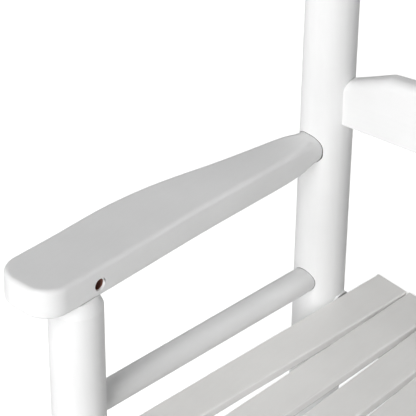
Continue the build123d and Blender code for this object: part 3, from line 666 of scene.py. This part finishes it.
def make_arms():
    """Both arms, and a dark sheet of painted shadow round each arm's rear end, widest below its inner side.
    """
    points, faces, bored = arm_surface()
    for piece in both_sides("arm_board", points, faces, [PAINT_BACK, BARE_WOOD], ("arm",)):
        indices = np.zeros(len(piece.data.polygons), dtype=np.int32)
        indices[-bored:] = 1
        piece.data.polygons.foreach_set("material_index", indices)
    origin, rearward, outward, upward = arm_axes()
    inner = -np.interp(ARM_JOINT_INNER, ARM_STATIONS, ARM_INNER)
    outer = -np.interp(ARM_JOINT_OUTER, ARM_STATIONS, ARM_OUTER)
    centre = origin + rearward * (ARM_JOINT - 0.03) + outward * (inner + outer) / 2
    half_width, half_height = (outer - inner) / 2, ARM_THICK / 2
    contour, normals = rounded_contour(centre, outward, upward, half_width, half_height, ARM_END_EDGE_R)
    turn = np.arctan2(normals @ upward, -(normals @ outward))
    gap_shadow = ARM_SHADOW_LINE * np.cos((turn - 1.0) / 2) ** 2 + ARM_SHADOW_LINE_WIDE * np.exp(-((turn + 0.30) / 0.28) ** 2)
    gap_shadow += SHADOW_LINE_RIPPLE * np.sin(5 * turn)
    profile = shadow_line_profile(gap_shadow[::-1])
    ring, quads = joint_ring(contour[::-1], normals[::-1], rearward, BACK_POST, UPWARD, profile)
    # the ring round the arm's rear end is a dark sheet of painted shadow
    both_sides("arm_rear_gap", ring, quads, [JOINT_SHADOW])


# ---- seat slats ----------------------------------------------------------------------------
# rows of a board's faces, counted upward: the rounded lower edge, painted darker as painted shade, then the
# side, painted lighter as painted light
SLAT_SHADED_EDGE_ROWS = (1, 10)
SLAT_LIT_SIDE_ROWS = (10, 16)


def slat_outline(index):
    """Plan of a slat, anticlockwise from the front of its right side: a rectangle with corners of
    radius r, its long sides waving by the sum of a sin(k y + p i)."""
    width, length, r = SLAT_WIDTH, SLAT_LENGTH, SLAT_CORNER_R
    along = np.linspace(-length + r, -r, 120)
    right = np.stack([np.full(120, width), along], -1)
    left = np.stack([np.zeros(120), along[::-1]], -1)
    across = np.linspace(r, width - r, 16)[1:-1]
    rear = np.stack([across[::-1], np.zeros(14)], -1)
    front = np.stack([across, np.full(14, -length)], -1)
    corners = [arc(centre, r, turn, turn + 90, 8)[1:-1] for centre, turn in
               (((width - r, -r), 0), ((r, -r), 90), ((r, r - length), 180), ((width - r, r - length), 270))]
    outline = np.vstack([right, corners[0], rear, corners[1], left, corners[2], front, corners[3]])
    wave = sum(a * np.sin(k * outline[:, 1] + p * index) for a, k, p in SLAT_WAVES)
    return outline + np.stack([wave, 0 * wave], -1)


def seat_slats():
    """Nine slats, each a board with its upper edges rounded at r and its front nose at R."""
    paints = [SLAT_PAINT, SLAT_SIDE_PAINTED_LIGHT, SLAT_EDGE_PAINTED_SHADE]
    corner = SLAT_REAR_CORNER
    for index, (yaw, tilt) in enumerate(zip(SLAT_YAWS, SLAT_TILTS)):
        across = np.array([np.cos(yaw) * np.cos(tilt), -np.sin(yaw) * np.cos(tilt), -np.sin(tilt)])
        along = unit([np.sin(yaw), np.cos(yaw), SLAT_SLOPE])
        if index:
            corner = corner + [SLAT_GAP_REAR, 0, SLAT_STEPS[index]]
        outline = slat_outline(index)
        nose = np.clip((SLAT_NOSE_R - outline[:, 1] - SLAT_LENGTH) / SLAT_NOSE_R, 0, 1)
        upper = SLAT_EDGE_R * (1 - nose) + SLAT_NOSE_R * nose
        upper = np.where(outline[:, 1] > -SLAT_REAR_EDGE, SLAT_REAR_EDGE_R, upper)
        points, faces = board(corner, across, along, outline, -SLAT_THICK, 0.0, SLAT_LOWER_EDGE_R, upper)
        if index < len(SLAT_NAMES):
            name = SLAT_NAMES[index]
            pieces = both_sides(f"{name}_slat", points, faces, paints, (f"{name}_seat_slat",))
        else:
            pieces = [new_piece("middle_slat", to_row(points), faces, paints)]
            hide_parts("middle_seat_slat")
        for piece in pieces:
            # faces of the side get the painted light copy, those of the rounded lower edge the painted shade
            # copy
            row = np.arange(len(piece.data.polygons)) // len(outline)
            kinds = np.zeros(len(row), dtype=np.int32)
            kinds[(row >= SLAT_LIT_SIDE_ROWS[0]) & (row < SLAT_LIT_SIDE_ROWS[1])] = 1
            kinds[(row >= SLAT_SHADED_EDGE_ROWS[0]) & (row < SLAT_SHADED_EDGE_ROWS[1])] = 2
            piece.data.polygons.foreach_set("material_index", kinds)
        corner = corner + across * SLAT_WIDTH


# ---- camera, lights and floor --------------------------------------------------------------
CAMERA_AZIMUTH = np.radians(38.319)
CAMERA_ELEVATION = np.radians(38.740)
CAMERA_ROLL = np.radians(-3.771)
CAMERA_DISTANCE = 3.14188
CAMERA_TARGET = np.array([-0.408044, 0.145969, 0.406355])
CAMERA_LENS = 237.91

FLOOR_GLOW = 0.6
FLOOR_REACH = 30.0
LIGHT_DISTANCE = 4.5
LIGHT_AIM = 0.6
# azimuth, elevation, size and watts: a strong frontal pair, a low one from the sitter's right
# and weaker ones around and behind
LIGHTS = ((-170, 2, 1.2, 18.6), (-170, 20, 2.0, 22.8), (-80, 20, 2.0, 117.5), (-50, 20, 2.0, 3.7),
          (-20, 20, 2.0, 10.2), (60, 20, 2.0, 38.7), (95, 20, 2.0, 3.2), (140, 20, 2.0, 17.4),
          (-90, 50, 2.2, 80.7), (70, 50, 2.2, 9.2))


def matrix_from(x_axis, y_axis, z_axis, place):
    """A 4 by 4 placement from three axes and a point."""
    whole = np.eye(4)
    whole[:3, 0], whole[:3, 1], whole[:3, 2], whole[:3, 3] = x_axis, y_axis, z_axis, place
    return [list(map(float, row)) for row in whole]


def make_camera():
    """A long lens looking down over the sitter's left knee at the right arm."""
    forward = np.array([-np.sin(CAMERA_AZIMUTH) * np.cos(CAMERA_ELEVATION),
                        np.cos(CAMERA_AZIMUTH) * np.cos(CAMERA_ELEVATION), -np.sin(CAMERA_ELEVATION)])
    level = np.array([np.cos(CAMERA_AZIMUTH), np.sin(CAMERA_AZIMUTH), 0.0])
    above = np.cross(level, forward)
    right = level * np.cos(CAMERA_ROLL) + above * np.sin(CAMERA_ROLL)
    up = np.cross(right, forward)
    data = bpy.data.cameras.new("camera")
    data.sensor_width = 36.0
    data.lens = CAMERA_LENS
    data.clip_end = 100.0
    camera = bpy.data.objects.new("camera", data)
    bpy.context.scene.collection.objects.link(camera)
    place = CAMERA_TARGET - forward * CAMERA_DISTANCE
    camera.matrix_world = Matrix(matrix_from(right, up, -forward, place))
    bpy.context.scene.camera = camera


def soft_light(azimuth, elevation, size, watts):
    """A round soft light looking at the middle of the chair. Azimuth 0 is to the sitter's left
    and 90 behind the chair; elevation is above the floor."""
    turn, rise = np.radians(azimuth), np.radians(elevation)
    away = Vector((np.cos(turn) * np.cos(rise), np.sin(turn) * np.cos(rise), np.sin(rise)))
    data = bpy.data.lights.new("soft_light", "AREA")
    data.shape = "DISK"
    data.size = size
    data.energy = watts
    light = bpy.data.objects.new("soft_light", data)
    bpy.context.scene.collection.objects.link(light)
    light.location = Vector((0, 0, LIGHT_AIM)) + away * LIGHT_DISTANCE
    light.rotation_euler = (-away).to_track_quat("-Z", "Y").to_euler()


def make_world():
    """A white surround for the camera that sheds no light on the chair."""
    world = bpy.data.worlds.new("studio")
    world.use_nodes = True
    bpy.context.scene.world = world
    tree = world.node_tree
    tree.nodes.clear()
    seen = node(tree, "ShaderNodeBackground", Color=(1, 1, 1, 1), Strength=1.0)
    dark = node(tree, "ShaderNodeBackground", Color=(1, 1, 1, 1), Strength=0.0)
    output = node(tree, "ShaderNodeOutputWorld")
    tree.links.new(seen_by_camera(tree, dark, seen), output.inputs["Surface"])


def make_floor():
    """A wide pale floor that looks almost white and still takes a soft shadow."""
    material, tree, shader = principled("studio_floor")
    shader.inputs["Base Color"].default_value = (0.9, 0.9, 0.9, 1)
    shader.inputs["Roughness"].default_value = 0.9
    glow = node(tree, "ShaderNodeEmission", Color=(1, 1, 1, 1), Strength=FLOOR_GLOW)
    off = node(tree, "ShaderNodeEmission", Color=(0, 0, 0, 1), Strength=0.0)
    both = node(tree, "ShaderNodeAddShader")
    tree.links.new(shader.outputs[0], both.inputs[0])
    tree.links.new(seen_by_camera(tree, off, glow), both.inputs[1])
    tree.links.new(both.outputs[0], tree.nodes["Material Output"].inputs["Surface"])
    mesh = bpy.data.meshes.new("floor")
    corners = [(x * FLOOR_REACH, y * FLOOR_REACH, 0) for x, y in ((-1, -1), (1, -1), (1, 1), (-1, 1))]
    mesh.from_pydata(corners, [], [(0, 1, 2, 3)])
    mesh.materials.append(material)
    floor = bpy.data.objects.new("floor", mesh)
    bpy.context.scene.collection.objects.link(floor)


make_arms()
side_member("seat_side_rail", RAIL_RISE, 0.0, SIDE_RAIL_R, ("side_rail",))
side_member("low_side_stretcher", STRETCHER_FRONT_Z, STRETCHER_BACK_Z, STRETCHER_R, ("side_stretcher",))
seat_slats()

bpy.context.scene.view_settings.view_transform = "Standard"
make_camera()
make_world()
make_floor()
for azimuth, elevation, size, watts in LIGHTS:
    soft_light(azimuth, elevation, size, watts)
